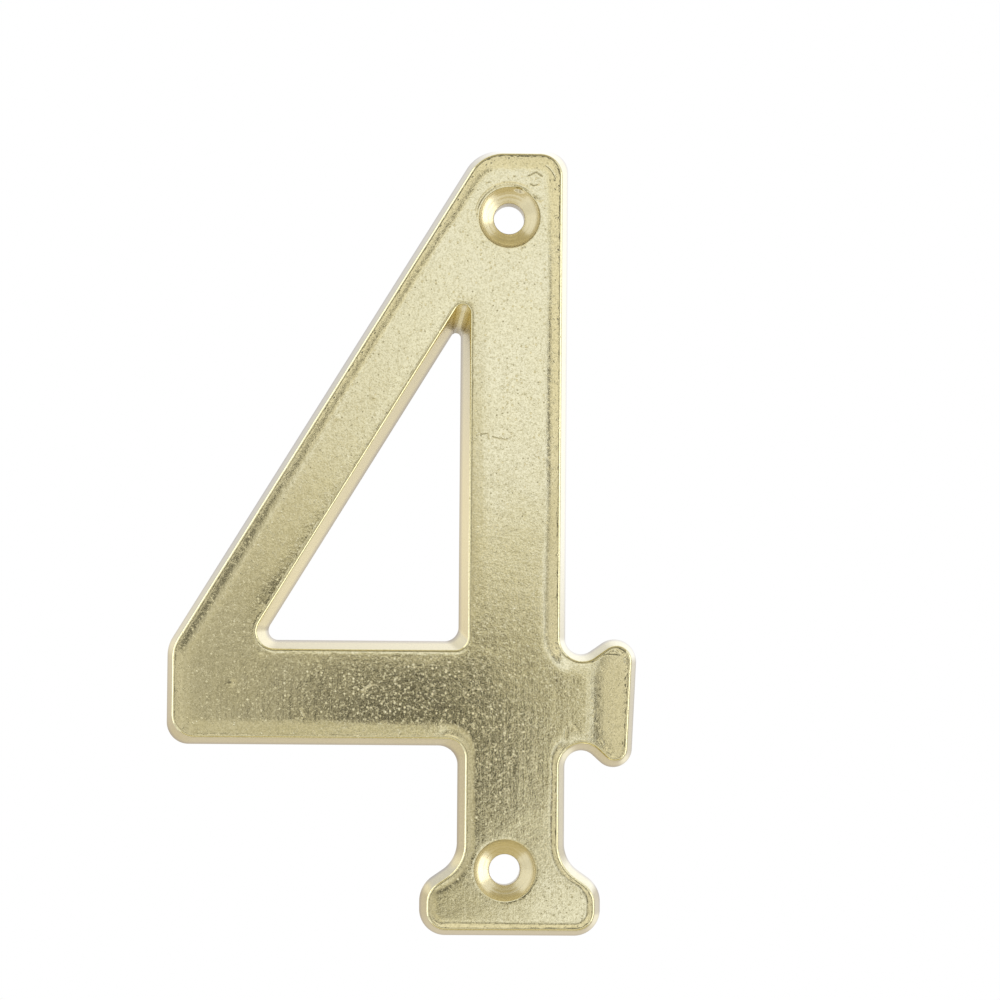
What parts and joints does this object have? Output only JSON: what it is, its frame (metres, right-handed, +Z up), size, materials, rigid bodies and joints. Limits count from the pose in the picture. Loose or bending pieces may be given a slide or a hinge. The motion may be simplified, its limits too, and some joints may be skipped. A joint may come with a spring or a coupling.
{
  "type": "door numeral",
  "caption": "Cast brass figure four for a door, with flared walls, softly rounded edges, a serif, a bell-shaped foot and countersunk screw holes.",
  "frame": {"origin": "midway between the screw holes, on the flat back", "axes": "+Z up the figure along the line of the screws, +X to the right of someone facing it, -Y out of the face"},
  "size_m": [0.0607, 0.005, 0.1018],
  "materials": {
    "brass": "pale polished cast brass with fine speckle, small dings and short scratches"
  },
  "bodies": {
    "root": {"number_four": "brass"}
  },
  "joints": []
}
